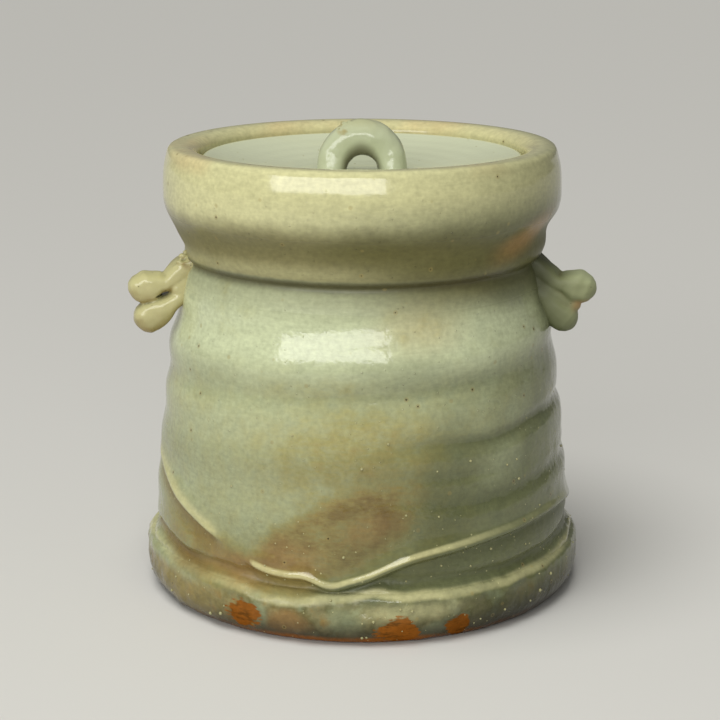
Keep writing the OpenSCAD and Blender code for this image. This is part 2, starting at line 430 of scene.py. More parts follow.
# %% [markdown]
# ## The potter's marks
# Fingers leave rings that climb as the wheel turns, a spatula drawn round the foot leaves a sharp edge
# with a hollow under it, and the rim is turned out to an edge. Such marks could be sculpted, but each
# follows a rule, so one Geometry Nodes tree pushes every point of the skin out or in: rings and grooves
# by height and direction, the spatula's two cuts by the distance from a tilted plane, the flange's lip by
# a wavering height, and a slow wobble. The tree also stores how much of a ridge, a hollow or a groove each
# point is, and the glaze reads that later: it runs thin on ridges, hollows are darkened partly as pooled
# glaze and partly as painted shade, and grooves are darkened as painted shade.


# %% Helpers for trees of geometry
def new_tree(name, sizes):
    """An empty Geometry Nodes tree with named number inputs. Returns the tree, geometry and inputs."""
    tree = bpy.data.node_groups.new(name, "GeometryNodeTree")
    tree.interface.new_socket("Geometry", in_out="INPUT", socket_type="NodeSocketGeometry")
    tree.interface.new_socket("Geometry", in_out="OUTPUT", socket_type="NodeSocketGeometry")
    for label in sizes:
        tree.interface.new_socket(label, in_out="INPUT", socket_type="NodeSocketFloat")
    start = tree.nodes.new("NodeGroupInput")
    inputs = {label: Wire(tree, start.outputs[label]) for label in sizes}
    return tree, Wire(tree, start.outputs["Geometry"]), inputs


def end_tree(tree, geometry):
    """Joins the last geometry to the tree's output."""
    plug(tree, tree.nodes.new("NodeGroupOutput").inputs["Geometry"], geometry)


def run_tree(obj, tree, sizes):
    """Runs a tree on an object and keeps the result as the object's own plain mesh."""
    modifier = obj.modifiers.new(tree.name, "NODES")
    modifier.node_group = tree
    for item in tree.interface.items_tree:
        if item.in_out == "INPUT" and item.name in sizes:
            modifier[item.identifier] = float(sizes[item.name])
    keep_result(obj)


def keep_result(obj):
    """Replaces an object's mesh by what its modifiers make of it."""
    depsgraph = bpy.context.evaluated_depsgraph_get()
    made = bpy.data.meshes.new_from_object(
        obj.evaluated_get(depsgraph), preserve_all_data_layers=True, depsgraph=depsgraph
    )
    obj.modifiers.clear()
    obj.data = made


def attribute(tree, name):
    """A stored number of each point, inside a Geometry Nodes tree."""
    return wired(tree, "GeometryNodeInputNamedAttribute", {"Name": name}, "Attribute", data_type="FLOAT")


def store(tree, geometry, name, value):
    """Stores a number on each point under a name."""
    values = {"Geometry": geometry, "Name": name, "Value": value}
    return wired(tree, "GeometryNodeStoreNamedAttribute", values, data_type="FLOAT", domain="POINT")


def waved(start, direction, waves):
    """A height that rises and falls round the jar: a wave is (direction, rise, half its width)."""
    for middle, rise, half in waves:
        start = start + direction.bump(middle, half) * rise
    return start


print("tree helpers ready")

# %% The tree of the potter's marks
mark_sizes = {
    "Ring pitch": 19.5,
    "Ring crest": 87,
    "Ring depth": 0.06,
    "Side rings": 0.32,
    "Side groove": 1.2,
    "Finger depth": 0.015,
    "Roll depth": 0.7,
    "Collar roll": 1.2,
    "Rim edge": 0.06,
    "Rim edge from": 174.5,
    "Undercut": 1.3,
    "Welt height": 1.3,
    "Cut depth": 1.3,
    "Lip bead": 1.2,
    "Lip hollow": 1.3,
    "Lip lumps": 4.0,
    "Wobble": 0.5,
}
FINGER_PITCH = 6.5
marks, clay, size = new_tree("potters_marks", mark_sizes)
position = wired(marks, "GeometryNodeInputPosition")
px, py, height = parts_of(marks, position)
around = degrees_round(px, py)
aside = degrees_aside(px, py)
skin_here = attribute(marks, "skin")

on_wall = height.rise(24, 40) * height.fall(118, 134)
uneven = noise(marks, position, 14) * 1.4 + 1
climb = around / 360
ring = ((height - size["Ring crest"]) / size["Ring pitch"] - climb) * (2 * pi)
fingers = (height / FINGER_PITCH - climb) * (2 * pi)
off_middle = 1 - around.bump(-9, 62)
rings = ring.math("COSINE") * (size["Ring depth"] + off_middle * size["Side rings"]) * uneven * on_wall
finger_lines = fingers.math("COSINE") * size["Finger depth"] * uneven * on_wall
slant = height - 0.08 * around * around.math("ABSOLUTE").fall(95, 178)
roll = slant.bump(106, 11) - slant.bump(121.5, 11) - 0.3 * slant.bump(96.5, 7)
roll = roll * size["Roll depth"] * height.fall(130, 135)
far_left = around.bump(-90, 50)
collar_roll = height.bump(140.5, 5.5) * (1 - 1.8 * far_left) - height.bump(149.5, 6.5) * (1 - 0.9 * far_left)
collar_roll = collar_roll * size["Collar roll"]
over_edge = (height - size["Rim edge from"]).math("MAXIMUM", 0)
rim_edge = over_edge * over_edge * size["Rim edge"] * (noise(marks, position, 45) * 0.5 + 1)
undercut = height.bump(134.2, 3.4) * size["Undercut"]
groove_height = height + noise(marks, position, 30) * 3 - 0.04 * around + around.bump(36, 25) * 2
upper_groove = groove_height.bump(76, 5) * around.rise(-4, 45)
short_groove = groove_height.bump(64.5, 4) * around.rise(0, 30) * around.fall(30, 44)
lower_groove = groove_height.bump(52.5, 6) * around.rise(8, 40)
right_groove = (upper_groove + 0.5 * short_groove + 0.95 * lower_groove) * around.fall(85, 110)
print("rings every", mark_sizes["Ring pitch"], "mm")

# %% The spatula's two cuts
LEFT_PLANE = (55.3, -0.0999, 0.392)
RIGHT_PLANE = (5.86, 0.3258, -0.2514)
CUT_WAVES = ((-13, 1.4, 7), (-28, -2.0, 14), (-1, -1.9, 15), (42, -2.0, 34))


def tilted(on_axis, along_x, along_y):
    """Height of a tilted plane, from its height on the axis and its two slopes."""
    return px * along_x + on_axis + py * along_y


left_cut = tilted(*LEFT_PLANE)
cut_height = left_cut + (tilted(*RIGHT_PLANE) - left_cut) * around.rise(-16, -3)
cut_height = waved(cut_height + noise(marks, position, 40) * 1.2, around, CUT_WAVES)
above_cut = height - cut_height
gap = around.rise(-45, -38) * around.fall(-33, -28)
shown = around.rise(-84, -75) * (1 - 0.92 * gap) * around.fall(72, 98)
right_branch = around.rise(-12, -2)
bead = above_cut.bump(0.3, 2.2 + right_branch * 0.9) * (0.36 + right_branch * 0.09)
welt = (above_cut.fall(0, 9) * above_cut.rise(-2.4, 0.2) * 0.7 + bead) * shown
welt = welt + above_cut.bump(1.2, 3.4) * around.bump(-13.5, 7) * 0.35
hollow = above_cut.fall(-2.6, -0.4) * above_cut.rise(-14, -3) * shown
print("the cuts meet left of the middle")

# %% The flange's lip and the wobble
LIP_HEIGHT = 20
LIP_WAVES = ((-72, 3.0, 18), (-20, -3.2, 14), (4, 1.4, 8), (80, 3.0, 36))
lip_here = waved(noise(marks, position, 70, 3.0) * 3.2 + LIP_HEIGHT, around, LIP_WAVES)
above_lip = height - lip_here
lip = above_lip.rise(-7, -1) * above_lip.fall(-0.5, 2.5) * (noise(marks, position, 45) * 1.6 + 0.85)
lumpy_side = aside.rise(-50, 20) * 0.6 + 0.4 - aside.rise(45, 70) * 0.6
lumps = noise(marks, position, 95, 4.0) * above_lip.bump(-4, 11) * lumpy_side
raised = (lip_here - LIP_HEIGHT).math("MAXIMUM", 0)
skirt = raised * 0.3 * height.rise(13, 19) * above_lip.fall(-0.5, 2.2)
under_welt = above_cut.fall(-3, -0.8).math("MAXIMUM", 1 - shown)
lip_hollow = above_lip.bump(4.2, 3.8) * under_welt
wobble = noise(marks, position, 9, 1.0) * size["Wobble"] * height.rise(2, 20)
rugged = noise(marks, position, 120, 3.0) * above_lip.fall(-2, 3) * 2.2
rugged = (rugged + noise(marks, position, 60, 2.0) * 0.25) * (1 - 0.75 * aside.rise(35, 65))
rugged = rugged + noise(marks, position, 95, 3.0) * aside.rise(5, 45) * on_wall * 0.8
print("lip waves", len(LIP_WAVES))

# %% Push the skin and store the ridges
push = rings + finger_lines + roll + collar_roll + rim_edge - undercut
push = push - right_groove * size["Side groove"] + rugged
push = push + welt * size["Welt height"] - hollow * size["Cut depth"]
push = push + lip * size["Lip bead"] + skirt - lip_hollow * size["Lip hollow"] + lumps * size["Lip lumps"]
push = (push + wobble) * skin_here * MM
out = length(px, py).math("MAXIMUM", 1)
offset = wired(marks, "ShaderNodeCombineXYZ", {"X": px / out * push, "Y": py / out * push})
clay = wired(marks, "GeometryNodeSetPosition", {"Geometry": clay, "Offset": offset})
for label, ridge in (
    ("welt", above_cut.bump(1.5, 3.2 + around.fall(-42, -36) * 1.6) * shown),
    ("swell", above_cut.bump(3, 7) * shown),
    ("lip", above_lip.bump(-0.6, 3)),
    ("hollow", hollow.math("MAXIMUM", lip_hollow)),
    ("groove", right_groove),
):
    clay = store(marks, clay, label, ridge * skin_here)
end_tree(marks, clay)
run_tree(jar, marks, mark_sizes)
print("marked jar has", len(jar.data.polygons), "faces")

# %% [markdown]
# ## Coils of clay
# The ears and the knob are rolled coils that were bent and pressed on. A curve with a round bevel could
# stand for one, but a pressed coil is flatter than it is wide, and it swells and thins. So a small
# function sweeps an ellipse along a few points, each with its own thickness and width, and rounds off
# both tips. Coils that meet are melted into one skin on a fine grid.


# %% Sweep a coil
def spline(points, steps):
    """A smooth line through points of any length."""
    p = np.array(points, float)
    p = np.vstack((p[0], p, p[-1]))
    line = []
    for i in range(1, len(p) - 2):
        a, b, c, d = p[i - 1:i + 3]
        square = 2 * a - 5 * b + 4 * c - d
        cube = 3 * b - a - 3 * c + d
        for t in np.arange(steps) / steps:
            line.append((2 * b + (c - a) * t + square * t**2 + cube * t**3) / 2)
    line.append(p[-2])
    return np.array(line)


ROLLED = 0.9
PRESSED = 0.66


def coil(points, full=ROLLED, sides=24, steps=8):
    """Points and faces of a coil in the plane y = 0 through (x, z, half thickness, half width), in mm."""
    line = spline(points, steps)
    way = np.gradient(line[:, :2], axis=0)
    way /= np.linalg.norm(way, axis=1, keepdims=True)
    rings = [(line[i], way[i], 0.0, 1.0) for i in range(len(line))]
    tips = [(sin(a), cos(a)) for a in np.radians((25, 50, 70, 84))]
    first_tip = [(line[0], way[0], -s, c) for s, c in tips[::-1]]
    last_tip = [(line[-1], way[-1], s, c) for s, c in tips]
    rings = first_tip + rings + last_tip
    turn = np.arange(sides) * 2 * pi / sides
    points_made = []
    for (x, z, thick, wide), (wx, wz), ahead, share in rings:
        x = x + wx * ahead * thick
        z = z + wz * ahead * thick
        up = filled(np.cos(turn), full) * thick * share
        side = filled(np.sin(turn), full) * wide * share
        points_made.append(np.column_stack((x - wz * up, side, z + wx * up)))
    count = len(rings)
    faces = [
        (i * sides + k, i * sides + (k + 1) % sides, (i + 1) * sides + (k + 1) % sides, (i + 1) * sides + k)
        for i in range(count - 1)
        for k in range(sides)
    ]
    faces.append(tuple(range(sides))[::-1])
    faces.append(tuple((count - 1) * sides + k for k in range(sides)))
    return np.vstack(points_made), faces


def lump(middle, size, seed):
    """Points and faces of a torn crumb of clay: a rough ball with a few faces."""
    rough = np.random.default_rng(seed)
    points, faces = coil([(-0.3, 0, 0.8, 0.8), (0.3, 0, 0.8, 0.8)], sides=8, steps=2)
    points = points * rough.uniform(0.7, 1.2, points.shape) * size + np.array(middle)
    return points, faces


def fused_object(name, chunks, voxel, smoothing):
    """Joins chunks of clay into one skin: they are melted on a fine grid and then smoothed."""
    points = []
    faces = []
    for chunk_points, chunk_faces in chunks:
        start = len(points)
        points.extend((np.array(chunk_points) * MM).tolist())
        faces.extend([tuple(start + k for k in face) for face in chunk_faces])
    mesh = bpy.data.meshes.new(name)
    mesh.from_pydata(points, [], faces)
    made = make_object(name, mesh)
    melt = made.modifiers.new("melt", "REMESH")
    melt.mode = "VOXEL"
    melt.voxel_size = voxel * MM
    soften = made.modifiers.new("soften", "SMOOTH")
    soften.factor = 0.5
    soften.iterations = smoothing
    keep_result(made)
    made.data.shade_smooth()
    return made


def press(mesh, dents):
    """Presses clay out of true by noise along each point's normal. A dent is (depth, width) in mm."""
    normals = [v.vector.copy() for v in mesh.vertex_normals]
    for vertex, normal in zip(mesh.vertices, normals):
        place = vertex.co / MM
        push = sum(depth * clay_noise.noise(place / width) for depth, width in dents)
        vertex.co = vertex.co + normal * push * MM
    mesh.update()


def store_creases(mesh, rounds):
    """Stores how hollow the surface is at each point, above 0 in a crease, and how far it faces down."""
    count = len(mesh.vertices)
    points = np.empty(count * 3)
    mesh.vertices.foreach_get("co", points)
    points = points.reshape(-1, 3) / MM
    normals = np.array([v.vector for v in mesh.vertex_normals])
    ends = np.empty(len(mesh.edges) * 2, np.int32)
    mesh.edges.foreach_get("vertices", ends)
    a, b = ends.reshape(-1, 2).T
    both = np.concatenate((a, b))
    other = np.concatenate((b, a))
    neighbours = np.bincount(both, minlength=count)
    step = np.mean(np.linalg.norm(points[a] - points[b], axis=1))

    def mean_round(values):
        return np.bincount(both, weights=values[other], minlength=count) / neighbours

    middle = np.column_stack([mean_round(points[:, k]) for k in range(3)])
    hollow = ((middle - points) * normals).sum(axis=1) * 4 / step**2
    for _ in range(rounds):
        hollow = mean_round(hollow)
    mesh.attributes.new("crease", "FLOAT", "POINT").data.foreach_set("value", hollow.astype(np.float32))
    mesh.attributes.new("down", "FLOAT", "POINT").data.foreach_set("value", -normals[:, 2].astype(np.float32))
    return hollow


print("coil helper ready")

# %% [markdown]
# ## Ears
# Each ear is a short strap folded into two lobes. Its upper arm leaves the wall just under the collar,
# its lower arm a finger's width below. The arms are swept as coils with the wall's own radius as their
# start, webbed together at the root and pressed to each other at the lobes, so that only a slit stays
# open between them. The left ear's upper root is torn, so a few crumbs of clay are melted into it.

# %% Ears
EAR_VOXEL = 0.45
EAR_SMOOTHING = 9
EAR_TURN = radians(12)
EAR_RAISE = 4


def onto_wall(points, side):
    """Turns points of an ear to its place on the wall: a little to the front, and mirrored on the left."""
    x, y, z = np.array(points, float).T
    turned = x * cos(EAR_TURN) + y * sin(EAR_TURN)
    return np.column_stack((side * turned, y * cos(EAR_TURN) - x * sin(EAR_TURN), z + EAR_RAISE))


UPPER_ARM = [
    (-3, 131.0, 4.4, 7.6),
    (3.2, 126.8, 4.2, 7.2),
    (8.4, 122.8, 3.3, 6.6),
    (11.8, 122.4, 4.4, 6.8),
    (15.6, 121.2, 6.4, 6.8),
    (18, 120.4, 6.0, 6.0),
]
LEFT_LOWER = [(-1, 121, 3.2, 6.6), (6, 115.2, 3.6, 6.8), (11.5, 111.2, 6.0, 7.0), (15.6, 108.8, 6.4, 6.6)]
LEFT_WEB = [(-2, 125, 5.5, 7.2), (2, 121.6, 5.0, 7.0), (5.4, 120.2, 2.8, 6.8)]
RIGHT_LOWER = [(-1, 121, 3.4, 6.6), (4, 115.6, 4.4, 6.8), (8, 111, 6.0, 7.0), (10.8, 108.8, 6.2, 6.6)]
RIGHT_WEB = [(-2, 125, 5.0, 7.0), (4, 120, 4.6, 6.4), (10, 116.4, 4.0, 5.6), (15, 113.6, 3.0, 4.6)]


def ear_chunks(side, *arms):
    """Chunks of one ear; side is -1 on the left. An arm counts its way out from the face of the neck."""
    chunks = [coil([(neck_r + out, *rest) for out, *rest in arm], PRESSED) for arm in arms]
    return [(onto_wall(points, side), [face[::side] for face in faces]) for points, faces in chunks]


torn = [
    ((neck_r + 2.4, -4.5, 133.6), 1.6),
    ((neck_r + 4.2, -5.4, 131.4), 1.2),
    ((neck_r + 1.6, -6.4, 130.6), 1.4),
    ((neck_r + 5.6, -4.6, 129.4), 0.9),
    ((neck_r + 0.8, -2.0, 134.6), 1.2),
]
torn_places = onto_wall([middle for middle, size in torn], -1)
crumbs = [lump(middle, size, seed) for seed, (middle, (_, size)) in enumerate(zip(torn_places, torn))]
left_chunks = ear_chunks(-1, UPPER_ARM, LEFT_LOWER, LEFT_WEB)
right_chunks = ear_chunks(1, UPPER_ARM, RIGHT_LOWER, RIGHT_WEB)
left_ear = fused_object("folded_left_ear", left_chunks + crumbs, EAR_VOXEL, EAR_SMOOTHING)
right_ear = fused_object("folded_right_ear", right_chunks, EAR_VOXEL, EAR_SMOOTHING)
EAR_DENTS = ((0.7, 9.0), (0.15, 3.0))
CREASE_ROUNDS = 8
for ear in (left_ear, right_ear):
    press(ear.data, EAR_DENTS)
    ear_creases = store_creases(ear.data, CREASE_ROUNDS)
    deepest = round(float(np.percentile(ear_creases, 98)), 2)
    print(ear.name, len(ear.data.polygons), "faces, deepest crease", deepest)

# %% [markdown]
# ## Lid
# The lid is a second turned shape: a dished plate with a rounded edge that lies on the ledge. A finger
# that rests on the turning clay leaves faint rings in the dish, so its outline gets a shallow ripple.

# %% Lid plate
LID_COLUMNS = 240
lid_edge_z = lid_high.z / MM
lid_dish = 8
lid_t = 6
lid_round = 2
lid_mid_z = lid_edge_z - lid_dish
lid_flat_r = lid_r - lid_round
plug_r = seat_r - 1
RIPPLE = 0.035
RIPPLE_PITCH = 7.5


def dish_height(r):
    """Height of the lid's dished top at a radius."""
    return lid_mid_z + lid_dish * (r / lid_flat_r) ** 2


dish_r = np.linspace(lid_flat_r, 0, 60)
ripple = RIPPLE * np.cos(2 * pi * dish_r / RIPPLE_PITCH) * np.minimum(1, (lid_flat_r - dish_r) / 6)
under_r = np.linspace(0, plug_r - 1, 14)
lid_outline = np.vstack((
    np.column_stack((under_r, dish_height(under_r) - lid_t)),
    [(plug_r, seat_z - 0.4), (plug_r + 0.4, seat_z), (lid_r - 0.8, seat_z)],
    quarter((lid_r - 0.8, seat_z + 0.8), 0.8, 0.8, -60, 0, 4),
    quarter((lid_flat_r, lid_edge_z - lid_round), lid_round, lid_round, 0, 90, 8)[:-1],
    np.column_stack((dish_r, dish_height(dish_r) + ripple)),
))
lid = make_object("dished_lid", turned_mesh("dished_lid", lid_outline, LID_COLUMNS))
print("lid has", len(lid.data.polygons), "faces")

# %% [markdown]
# ## Knob
# The loop on the lid is one coil bent into an arch. Its feet flare where they were luted on, and its
# crown carries a rough scar where it stuck to something in the kiln.

# %% Knob
_, knob_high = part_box("lid_knob")
knob_top_z = knob_high.z / MM
knob_half_w = knob_high.x / MM
knob_foot = 5.9
knob_crown = 7.3
foot_x = knob_half_w - knob_foot
arch = knob_top_z - knob_crown - lid_mid_z
knob_line = [(-foot_x - 0.4, lid_mid_z - 2.0, knob_foot + 0.6, knob_foot + 3.2)]
for a in range(180, -1, -30):
    swell = knob_foot + (knob_crown - knob_foot) * sin(radians(a))
    spread = 2.6 * (1 - sin(radians(a))) ** 2
    up = lid_mid_z + 1.5 + (arch - 1.5) * sin(radians(a))
    knob_line.append((foot_x * cos(radians(a)), up, swell, swell + spread))
knob_line.append((foot_x + 0.4, lid_mid_z - 2.0, knob_foot + 0.6, knob_foot + 3.2))
scar = [
    ((-7.6, -1.5, knob_top_z - 1.6), 1.3),
    ((-5.2, -2.6, knob_top_z - 0.9), 1.0),
    ((-9.4, -2.4, knob_top_z - 3.4), 1.0),
]
scar_bits = [lump(middle, size, 20 + seed) for seed, (middle, size) in enumerate(scar)]
KNOB_SMOOTHING = 5
KNOB_DENTS = ((0.5, 8.0), (0.15, 3.0))
knob = fused_object("loop_knob", [coil(knob_line)] + scar_bits, EAR_VOXEL, KNOB_SMOOTHING)
press(knob.data, KNOB_DENTS)
print("knob has", len(knob.data.polygons), "faces")

# %% [markdown]
# ## Glaze
# A wood-ash glaze is pale where it is thick, olive where it pools, yellow where it runs thin over an
# edge, and it lets the clay blush through in patches. A painted picture of that would be tied to one
# view, so the glaze is worked out from where a point is on the jar: direction round the axis and height.
# Patches are soft ellipses on that map, and noise wanders their edges. Gloss, pinholes and the fine skin
# of the glaze come from the same map. Shade is also painted into the colour: on the right side, low
# down, under the collar, in hollows, grooves and creases, and inside the knob's loop; the tops of the
# ears and the collar's lower roll get painted light.


# %% Glaze helpers
def tone(red, green, blue):
    """A colour as it looks, from 0 to 255, as the linear colour that a shader wants."""
    share = np.array((red, green, blue)) / 255
    linear = np.where(share <= 0.04045, share / 12.92, ((share + 0.055) / 1.055) ** 2.4)
    return (*linear.tolist(), 1.0)


class Coat:
    """A colour that more glazes are laid over."""

    def __init__(self, colour):
        self.colour = colour

    def lay(self, glaze, amount):
        """Lays a glaze on by an amount from 0 to 1."""
        values = {0: amount, 6: self.colour, 7: glaze}
        self.colour = wired(amount.tree, "ShaderNodeMix", values, 2, data_type="RGBA", clamp_factor=True)

    def patch(self, place, patches):
        """Lays on patches of (glaze, amount, spot), where the spot's values are those of Place.spot."""
        for glaze, amount, spot in patches:
            self.lay(glaze, place.spot(*spot) * amount)


class Place:
    """Where a point is on a turned piece, with the noises that the glaze shares."""

    def __init__(self, tree):
        self.tree = tree
        self.point = wired(tree, "ShaderNodeTexCoord", output="Object")
        self.x, self.y, self.height = parts_of(tree, self.point)
        self.around = degrees_round(self.x, self.y)
        self.aside = degrees_aside(self.x, self.y)
        self.cloud = noise(tree, self.point, 22, 4.0)
        self.grain = noise(tree, self.point, 160, 3.0)
        self.peel = noise(tree, self.point, 520, 2.0)
        self.ragged = noise(tree, self.point, 70, 4.0, 0.6)
        flat = wired(tree, "ShaderNodeVectorMath", {0: self.point, 1: (1, 1, 4)}, operation="MULTIPLY")
        self.streaks = noise(tree, flat, 210, 3.0, 0.6)

    def spot(self, direction, height, half_w, half_h, lean=0.0, soft=0.5, rough=0.5, torn=0.0):
        """A soft patch: its middle, half sizes in mm, lean in degrees, and how its edge fades and wanders."""
        across = (self.around - direction) * (radians(1) * belly_r)
        up = self.height - height
        u = (across * cos(radians(lean)) + up * sin(radians(lean))) / half_w
        v = (up * cos(radians(lean)) - across * sin(radians(lean))) / half_h
        away = length(u, v) + self.ragged * rough * 2 + (self.grain + self.streaks) * torn
        return away.fall(1 - soft, 1 + soft)

    def pinholes(self, cell, share, radius):
        """Small round holes in the glaze: one in some of the cells, of up to a radius in mm."""
        values = {"Vector": self.point, "Scale": 1 / (cell * MM)}
        node = add_node(self.tree, "ShaderNodeTexVoronoi", values)
        chosen = wired(self.tree, "ShaderNodeSeparateColor", {0: Wire(self.tree, node.outputs["Color"])})
        picked = chosen.math("GREATER_THAN", 1 - share)
        return Wire(self.tree, node.outputs["Distance"]).fall(0.6 * radius / cell, radius / cell) * picked


def glaze_material(name):
    """A material with an empty glaze, its tree and its place map."""
    material = bpy.data.materials.new(name)
    material.use_nodes = True
    return material, material.node_tree, Place(material.node_tree)


def shader_attribute(tree, name):
    """A stored number of each point, inside a material."""
    return wired(tree, "ShaderNodeAttribute", output="Fac", attribute_name=name)


def finish_glaze(material, pieces, colour, roughness, height_mm, shine=0.5):
    """Joins a glaze's colour, roughness, fine relief in mm and shine, and coats pieces with it."""
    tree = material.node_tree
    values = {"Height": height_mm * MM, "Strength": 1.0, "Distance": 1.0}
    finish = {
        "Base Color": colour,
        "Roughness": roughness,
        "Specular IOR Level": shine,
        "Normal": wired(tree, "ShaderNodeBump", values),
    }
    for label, value in finish.items():
        plug(tree, tree.nodes["Principled BSDF"].inputs[label], value)
    for piece in pieces:
        piece.data.materials.clear()
        piece.data.materials.append(material)


def ramp(tree, amount, stops):
    """A colour that changes along stops of (place, colour)."""
    node = add_node(tree, "ShaderNodeValToRGB", {0: amount})
    steps = node.color_ramp.elements
    while len(steps) < len(stops):
        steps.new(0.5)
    for step, (where, shade) in zip(steps, stops):
        step.position = where
        step.color = shade
    return Wire(tree, node.outputs[0])


print("glaze helpers ready")

# %% Colours of the glaze
PALE_CELADON = tone(194, 201, 162)
CELADON = tone(178, 185, 146)
SHADE_GREEN = tone(83, 88, 55)
CREAM = tone(199, 196, 147)
EAR_CREAM = tone(192, 187, 138)
OLIVE = tone(132, 126, 86)
DARK_OLIVE = tone(100, 96, 54)
STRAW = tone(160, 155, 102)
TAN = tone(154, 137, 80)
BROWN = tone(134, 112, 62)
UMBER = tone(112, 88, 44)
PEACH = tone(198, 180, 130)
ROSY_TAN = tone(146, 114, 66)
ORANGE_BLUSH = tone(170, 128, 72)
PALE_YELLOW = tone(214, 208, 154)
BARE_CLAY = tone(146, 86, 28)
# Dark burnt clay, also used as painted shade at the foot of the flange.
BURNT_CLAY_AND_SHADE = tone(40, 31, 13)
# Brown of pinholes, also used as painted shade inside the knob's loop.
PIT_AND_SHADE_BROWN = tone(66, 54, 30)
# Painted shadow under the collar.
PAINTED_NECK_SHADOW = tone(60, 54, 18)
# Painted shade in the ears' slit and at the root.
PAINTED_DEEP_SHADE = tone(36, 36, 18)
POOLED = tone(146, 154, 118)
# Coat of the right ear: partly its glaze and partly painted shade.
SHADED_CELADON = tone(134, 140, 101)
LID_GREEN = tone(204, 209, 176)
print("the glaze has a set of named colours")

# %% [markdown]
# ## The jar's glaze
# How thin the glaze lies decides its colour, from celadon over straw and tan to brown, so the wall is
# first a map of thinness: patches and noise add to it. Then the right side turns grey-green, partly the
# glaze's own colour and partly painted shade, and painted shade darkens the low wall, the neck under the
# collar and the foot. The collar and the flange get their own colours. Bare clay, ridges, pinholes and
# the fine skin come last.

# %% Thinness of the jar glaze
THIN_SPOTS = (
    (0.26, (1, 72, 38, 17, 4, 0.8)),
    (0.12, (-13, 98, 24, 4, 2, 0.8)),
    (0.12, (17, 122, 16, 8, 0, 0.9)),
    (0.10, (-44, 126, 10, 10, 0, 0.9)),
    (0.50, (-9, 41, 34, 13.5, 24, 0.28)),
    (0.22, (14, 40, 22, 14, 20, 0.7)),
    (0.18, (-13, 32, 24, 9, 4, 0.5)),
    (0.48, (-42, 27, 40, 9, -8, 0.6)),
)
jar_glaze, tree, place = glaze_material("jar_glaze")
welt_crest, lip_crest, hollow_here, groove_here, swell_here = (
    shader_attribute(tree, label) for label in ("welt", "lip", "hollow", "groove", "swell")
)
patchy = 1 + place.ragged * 1.0 + place.streaks * 1.3 + place.grain * 0.8
thin = 0.10 + place.cloud * 0.25 + place.ragged * 0.3 + place.grain * 0.3
for amount, spot in THIN_SPOTS:
    thin = thin + place.spot(*spot) * amount * patchy
print("the glaze is thin in", len(THIN_SPOTS), "spots")

# %% Wall of the jar glaze
WALL_STOPS = ((0.0, CELADON), (0.35, STRAW), (0.6, TAN), (0.8, BROWN), (1.0, UMBER))
# Of the SHADE_GREEN rows, those at the right ear's root and under the collar on the right are painted shadow,
# and those near the lip at heights 20 and 22 are painted shade in its hollow.
WALL_PATCHES = (
    (SHADE_GREEN, 0.5, (23, 60, 11, 26, -10, 0.7)),
    (CELADON, 0.25, (41, 66, 10, 7, 10, 0.8)),
    (UMBER, 0.65, (-54, 22, 16, 3.4, -7, 0.6)),
    (SHADE_GREEN, 0.5, (2, 22.4, 26, 2.6, 0, 0.7)),
    (SHADE_GREEN, 0.8, (46, 20, 16, 4, 4, 0.7)),
    (ROSY_TAN, 0.5, (-21, 33, 12, 6, 0, 0.7, 0.9)),
    (ROSY_TAN, 0.55, (-34, 26, 14, 6, -6, 0.7, 0.9)),
    (TAN, 0.7, (-20, 23, 12, 5, 0, 0.7, 0.9)),
    (ROSY_TAN, 0.35, (2, 46, 10, 5, 20, 0.7, 0.9)),
    (EAR_CREAM, 0.8, (-77, 124, 7, 12, 0, 0.6)),
    (SHADE_GREEN, 0.7, (72, 128, 9, 14, 0, 0.7)),
    (SHADE_GREEN, 0.6, (54, 130, 18, 7, 0, 0.8)),
    (SHADE_GREEN, 0.4, (34, 73, 12, 5, 12, 0.8)),
)
rightward = place.aside.rise(-30, 50)
wall_coat = Coat(ramp(tree, thin, WALL_STOPS))
shoulder_zone = (place.height + place.cloud * 30).rise(88, 112)
wall_coat.lay(PALE_CELADON, shoulder_zone * thin.fall(0.1, 0.4))
# Grey-green towards the right: partly the glaze's own colour and partly painted shade.
slanting = place.aside + place.height * -0.9 + place.cloud * 60 + place.ragged * 20
wall_coat.lay(SHADE_GREEN, slanting.rise(-72, -8) * (0.8 - 0.4 * thin))
wall_coat.lay(PEACH, place.spot(17, 121, 18, 9, 0, 0.8) * 0.35)
# Painted shade: the wall darkens towards the bottom.
wall_coat.lay(SHADE_GREEN, place.height.fall(24, 75) * 0.35)
# The hollow under the cut is darker, partly as pooled glaze and partly as painted shade, most on the right.
wall_coat.lay(SHADE_GREEN, hollow_here * (0.15 + rightward * 0.5))
wall_coat.lay(BROWN, hollow_here * place.aside.fall(-42, -24) * 0.75)
# Painted shade in a band under the shoulder's bulge and in a spot right of the middle.
wall_coat.lay(SHADE_GREEN, place.height.bump(98, 14) * 0.1)
wall_coat.lay(SHADE_GREEN, place.spot(12, 103, 20, 6, 0, 0.8) * 0.25)
# Painted shade in the grooves on the right and along the first ring, most on the right.
first_ring = (place.height - 0.08 * place.aside).bump(96, 6) * (0.12 + rightward * 0.3)
first_ring = first_ring * (1 - 0.7 * place.aside.rise(36, 50))
wall_coat.lay(SHADE_GREEN, groove_here * 0.6 + first_ring)
# Painted shadow of the collar on the neck, darkest in a line right under its edge.
wall_coat.lay(DARK_OLIVE, place.height.rise(119, 133) * (0.4 + rightward * 0.55))
wall_coat.lay(PAINTED_NECK_SHADOW, (place.height + place.cloud).bump(136, 4.2) * 0.9)
wall_coat.patch(place, WALL_PATCHES)
print("wall painted with", len(WALL_PATCHES), "patches")

# %% Collar of the jar glaze
on_collar = (place.height + place.cloud * 2).rise(137.2, 138.8)
collar_height = place.height + place.cloud * 5 + place.ragged * 5
inner_r = length(place.x, place.y)
collar_coat = Coat(CREAM)
